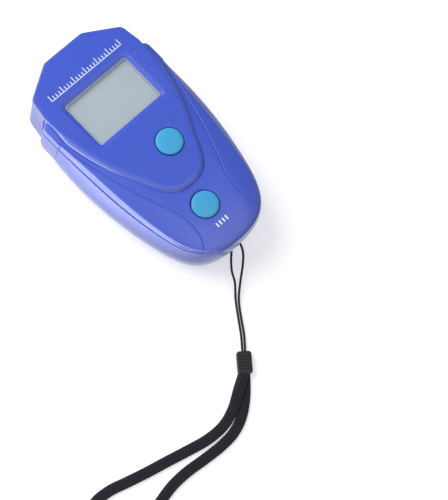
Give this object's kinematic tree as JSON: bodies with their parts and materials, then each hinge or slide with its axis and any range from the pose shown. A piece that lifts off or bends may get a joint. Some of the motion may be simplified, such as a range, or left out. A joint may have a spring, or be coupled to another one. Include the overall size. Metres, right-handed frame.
{
  "type": "coating thickness gauge",
  "caption": "Handheld coating thickness gauge with a blank display, round push buttons, a sprung probe in the back of its head, a sliding battery door and a wrist strap.",
  "frame": {"origin": "middle of the housing's box, on the surface that the back of the grip rests on", "axes": "+X to the right seen from the front, +Y from the tail to the head, +Z out of the front face"},
  "size_m": [0.1502, 0.1572, 0.028],
  "materials": {
    "blue_plastic": "satin",
    "lens": "polished",
    "display": "smooth",
    "white_plastic": "matte",
    "grey_rubber": "matte",
    "board": "semi-gloss",
    "black_plastic": "matte",
    "button_plastic": "satin",
    "plated_steel": "plated",
    "hard_steel": "polished",
    "copper": "enamelled wire",
    "lead_plastic": "smooth",
    "cell": "satin",
    "dark_steel": "blackened",
    "strap": "woven"
  },
  "bodies": {
    "housing": {"front_shell": "blue_plastic", "rear_shell": "blue_plastic", "display_lens": "lens", "display_panel": "display", "display_frame": "white_plastic", "contact_strips": "grey_rubber", "circuit_board": "board", "controller_chip": "black_plastic", "upper_switch": "plated_steel", "lower_switch": "plated_steel", "probe_collar": "black_plastic", "probe_spring": "plated_steel", "probe_leads": "lead_plastic", "left_cell": "cell", "right_cell": "cell", "bridge_contact": "plated_steel", "plus_contact": "plated_steel", "minus_contact": "plated_steel", "housing_screws": "dark_steel", "strap_cord": "strap", "strap_crimp": "black_plastic", "strap_band": "strap"},
    "upper_button": {"upper_button": "button_plastic", "upper_plunger": "black_plastic"},
    "lower_button": {"lower_button": "button_plastic", "lower_plunger": "black_plastic"},
    "probe": {"probe_core": "hard_steel", "probe_bobbin": "white_plastic", "probe_coil": "copper"},
    "battery_door": {"battery_door": "blue_plastic"}
  },
  "joints": [
    {"name": "upper_button_press", "type": "slide", "parent": "housing", "child": "upper_button", "axis": [0, 0, -1], "range_m": [0, 0.0005], "stiffness_N_per_m": 300, "springref_m": -0.001},
    {"name": "lower_button_press", "type": "slide", "parent": "housing", "child": "lower_button", "axis": [0, 0, -1], "range_m": [0, 0.0005], "stiffness_N_per_m": 300, "springref_m": -0.001},
    {"name": "probe_press", "type": "slide", "parent": "housing", "child": "probe", "axis": [0, 0, 1], "range_m": [0, 0.0008], "stiffness_N_per_m": 400, "springref_m": -0.001, "deforming": ["probe_spring"]},
    {"name": "battery_door_slide", "type": "slide", "parent": "housing", "child": "battery_door", "axis": [0, -1, 0], "range_m": [0, 0.01]}
  ]
}
